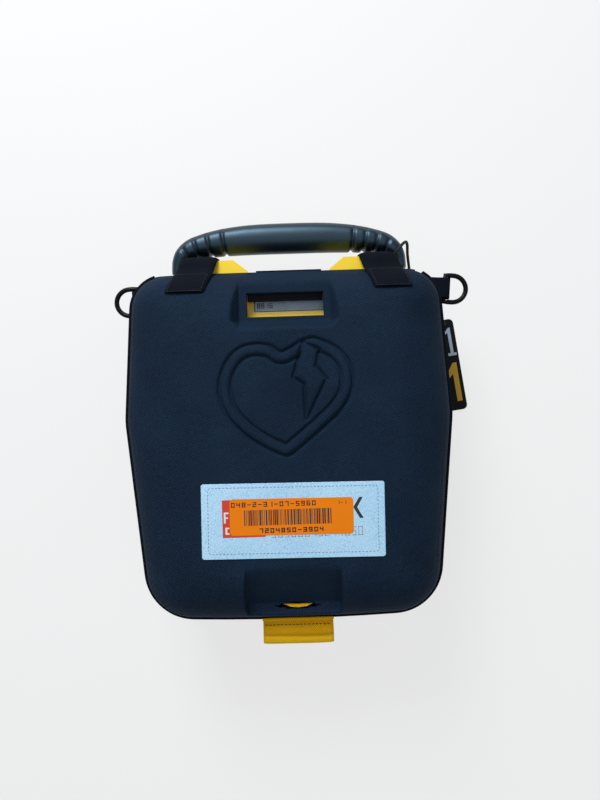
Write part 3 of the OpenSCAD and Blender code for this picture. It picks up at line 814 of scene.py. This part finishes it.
slit = [(-8.5, -109.4), (3, -109.8), (13.5, -109.2), (9, -111.4), (3, -112.3), (-3, -111.6)]
# the yellow under the slit uses the lighter tape copy: painted light
slab("tab_under_slit", slit, 97.6, 99.2, GOLD_LIT, COVER, 0.3)
slab("window_lip", [(-25.6, 99.2), (25.6, 99.2), (25.6, 104.6), (-25.6, 104.6)], 101.2, 102.6, LINING,
     COVER)
tab("tab_flap", [(-121.0, 94.2), (-123.2, 92.4), (-123.9, 86), (-123.7, 70), (-123.6, 56.5)],
    -23, 27, GOLD, replaces=("closure_flap",))
tab("tab_upper", [(-123.4, 91.0), (-127, 91.8), (-131.5, 91.2), (-133.6, 90.2)], -22.6, 26.6, GOLD, 1.3)
# the folded loop uses the lighter tape copy: painted highlight on the fold
tab("tab_loop", [(-124.9, 79.5), (-128, 83.6), (-134, 87.4), (-139, 88.0), (-141.6, 86.0),
                 (-140.4, 83.9), (-134, 83.0), (-126, 78.2)],
    -23, 27, GOLD_LIT, 1.4, ("pull_tab",))
stitch_mesh("tab_stitches", run_of([(-21, -126.4, 92.7), (25, -126.4, 92.7)], 2.6, 0.25), DTHREAD,
            COVER)


# ---------- handle ----------
def make_handle():
    """Rubber grip swept round the handle's line, with grip grooves."""
    # half of the handle's line: x, y, half its depth, half its height
    key = [(-82.6, 127.4, 5.0, 9.0), (-82.4, 132, 5.1, 9.8), (-81.4, 136.6, 5.6, 11),
           (-78.2, 141.4, 6.8, 12), (-72, 145.6, 8.0, 12.4), (-64, 148.3, 8.5, 12.4),
           (-54, 150.3, 9.2, 12.4), (-42, 151.6, 10.0, 12.4), (-25, 152.5, 10.6, 12.5)]
    key = key + [(0, 152.7, 10.8, 12.5)] + [(-x, y, a, b) for x, y, a, b in key[::-1]]
    line = smooth_line(key, 30)
    m, n = len(line), 40
    grooves = [-76.5, -68.5, -59, -48, 48, 57, 65.5, 73.5]
    nrm = normals(line[:, :2])
    v, f = [], []
    for i in range(m):
        x, y, a, b = line[i]
        g = min(abs(x - q) for q in grooves)
        nx, ny = nrm[i]
        end = min(1.0, 0.55 + 0.45 * min(i, m - 1 - i) / 6)
        for k in range(n):
            t = 2 * math.pi * k / n
            c, s = math.cos(t), math.sin(t)
            e = 2 / 2.4
            # the finger grooves bite into the hand side and fade out over the back of the bar
            hand = 0.22 + 0.78 * max(0.0, 0.5 - 0.5 * c) ** 0.8
            deep = 1.7 * hand * math.exp(-(g / 1.3) ** 2) * (c < 0.75)
            r1 = math.copysign(abs(c) ** e, c) * (a * end - deep)
            r2 = math.copysign(abs(s) ** e, s) * (b * end - deep - 0.1)
            v.append((x + X0 + nx * r1, y + ny * r1, HANDLE_Z + r2))
    for i in range(m - 1):
        for k in range(n):
            j = (k + 1) % n
            f.append((i * n + k, i * n + j, (i + 1) * n + j, (i + 1) * n + k))
    f += [tuple(range(n)), tuple((m - 1) * n + k for k in range(n))]
    new("grip", np.array(v) * MM, f, RUBBER, ROOT, replaces=("handle_grip",))


make_handle()

# ---------- rings and their tabs ----------
for name, (cx, cy, ang), body in (("left", (-111.5, 108.5, 183), "ring_left_body"),
                                  ("right", (119.5, 111.5, -5), "ring_right_body")):
    a = math.radians(ang)
    ex, ey = np.array([math.cos(a), math.sin(a)]), np.array([-math.sin(a), math.cos(a)])
    loc = [(0, s * 10) for s in (-1, -0.6, 0, 0.6, 1)] + [(3, 10), (6, 10)]
    loc += [(6 + 10 * math.cos(math.radians(t)), 10 * math.sin(math.radians(t)))
            for t in range(80, -81, -10)]
    loc += [(6, -10), (3, -10)]
    pts = [(*(np.array([cx, cy]) + u * ex + w * ey), HANDLE_Z) for u, w in loc]
    tube(f"ring_{name}", pts, 1.8, GLOSS, body, True, (f"d_ring_{name}",), 8)
    # webbing folded round the bar
    prof = [(-18, 1.6), (-12, 1.6), (-6, 2.0), (-2, 3.1), (1, 3.7), (3.5, 1.8), (3.9, 0)]
    q = smooth_line(prof + [(u, -h) for u, h in prof[-2::-1]], 4)
    v, f, wide = [], [], 7.8
    for w in np.linspace(-wide, wide, 9):
        for u, h in q:
            thin = 1 - 0.12 * (abs(w) / wide) ** 8
            v.append((*(np.array([cx, cy]) + u * ex + w * ey), HANDLE_Z + h * thin))
    n = len(q)
    for i in range(8):
        f += [(i * n + k, i * n + k + 1, (i + 1) * n + k + 1, (i + 1) * n + k) for k in range(n - 1)]
    node = f"ring_tab_{name}"
    t = new(f"ring_web_{name}", np.array(v) * MM, f, TAPE, None, replaces=(node,))
    s = t.modifiers.new("thick", "SOLIDIFY")
    s.thickness, s.offset = 0.0010, -1
    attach(t, ROOT)


# ---------- tag ----------
def numeral(name, at, turn, outline, w, h, material):
    """A printed one, as a single outline so that no two faces lie over each other."""
    t = math.radians(turn)
    v = [(at[0] + x * w * math.cos(t) - y * h * math.sin(t),
          at[1] + x * w * math.sin(t) + y * h * math.cos(t), 0.94) for x, y in outline]
    return new(name, np.array(v) * MM, [tuple(range(len(v)))], material, ROOT, smooth=False)


SERIF = [(-0.5, -0.5), (0.5, -0.5), (0.5, -0.4), (0.18, -0.4), (0.18, 0.5), (-0.02, 0.5),
         (-0.5, 0.36), (-0.5, 0.27), (-0.18, 0.33), (-0.18, -0.4), (-0.5, -0.4)]
BOLD = [(-0.05, -0.5), (0.5, -0.5), (0.5, 0.5), (0.1, 0.5), (-0.5, 0.3), (-0.5, 0.12), (-0.05, 0.22)]
numeral("tag_figure_top", (138.2, 76.8), 8, SERIF, 7.2, 24, SILVER)
numeral("tag_figure_low", (141.0, 42.2), 8, BOLD, 8.0, 33, OCHRE)

ROUTE = [(79.6, 134.6, 72.2), (82.6, 138.2, 75.9), (86.6, 142.6, 75.9), (89.6, 144.6, 73.2),
         (91.4, 143.2, 68), (93, 139.2, 59), (96, 132.4, 47), (99.6, 126.6, 33.6), (105, 121, 20),
         (112, 115, 10), (119, 109, 4.5), (126, 103, 2.4), (131, 97, 1.6), (134, 91, 1.3)]
way = smooth_line(ROUTE, 6)
cord = tube("tag_string", way, 1.1, CORD, ROOT, replaces=("tag_cord",))

# ---------- the pieces that stay as designed ----------
LOOK = {
    "case_foam_pad": FOAM, "closure_hook": TAPE, "closure_loop": TAPE,
    "aed_base_shell": YELLOW, "aed_deck": YELLOW, "aed_lid": YELLOW, "lid_gasket": DARK,
    "lid_pin_left": STEEL, "lid_pin_right": STEEL, "on_button": GREEN,
    "on_spring": STEEL, "lid_latch": DARK, "shock_button": SHOCK, "shock_spring": STEEL,
    "display_lens": LENS, "display_lcd": LCD, "infrared_window": IR_RED, "speaker": DARK,
    "electrode_pouch": FOIL, "pouch_pull": REDP, "electrode_plug": DARK, "electrode_lead": PAPER,
    "connector_socket": DARK, "quick_card": PAPER, "main_board": BOARD, "board_standoffs": YELLOW,
    "hv_capacitor": CANM, "battery_pack": DARK,
    "charge_cartridge": DARK, "transformer": COPPER, "discharge_module": ALU, "base_screws": STEEL,
    "handle_core": STEEL, "handle_pins": STEEL, "hang_tag": CARD,
}
for o in list(bpy.context.scene.objects):
    n = o.get("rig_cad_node")
    if n in LOOK:
        for s in o.material_slots:
            s.material = LOOK[n]


# ---------- floor and light ----------
def stage_plane():
    """Plain pale ground that gives off some light of its own."""
    me = bpy.data.meshes.new("floor")
    half, z = 3, -0.0006
    me.from_pydata([(-half, -half, z), (half, -half, z), (half, half, z), (-half, half, z)], [],
                   [(0, 1, 2, 3)])
    o = bpy.data.objects.new("floor", me)
    bpy.context.collection.objects.link(o)
    m, t, b = nodes("paper_floor")
    b.inputs["Base Color"].default_value = (0.2, 0.2, 0.2, 1)
    b.inputs["Roughness"].default_value = 0.9
    b.inputs["Emission Color"].default_value = (1, 1, 1, 1)
    b.inputs["Emission Strength"].default_value = 0.69
    me.materials.append(m)
    return o


floor = stage_plane()
for name, loc, size, power, col in (
        ("key", (-0.25, 0.85, 0.75), 0.45, 11, (0.94, 0.97, 1)),
        ("fill", (0.9, -0.3, 1.0), 0.9, 0.8, (1, 0.98, 0.95)),
        ("top", (0.0, -0.1, 1.5), 1.2, 2.5, (1, 1, 1))):
    l = bpy.data.lights.new(name, "AREA")
    l.energy, l.size, l.color = power, size, col
    o = bpy.data.objects.new(name, l)
    o.location = loc
    o.rotation_euler = (Vector((0, 0, 0.05)) - Vector(loc)).to_track_quat("-Z", "Y").to_euler()
    bpy.context.collection.objects.link(o)
w = bpy.data.worlds.new("world")
w.use_nodes = True
w.node_tree.nodes["Background"].inputs["Color"].default_value = (0.92, 0.95, 1, 1)
w.node_tree.nodes["Background"].inputs["Strength"].default_value = 0.32
bpy.context.scene.world = w
bpy.context.scene.view_settings.view_transform = "Standard"

# figures on the display
printed("lcd_marks", figures("8816", -19.6, 95.4, 3.4, 2.0, 0.45, 97.75, 0.9), INK, ROOT)
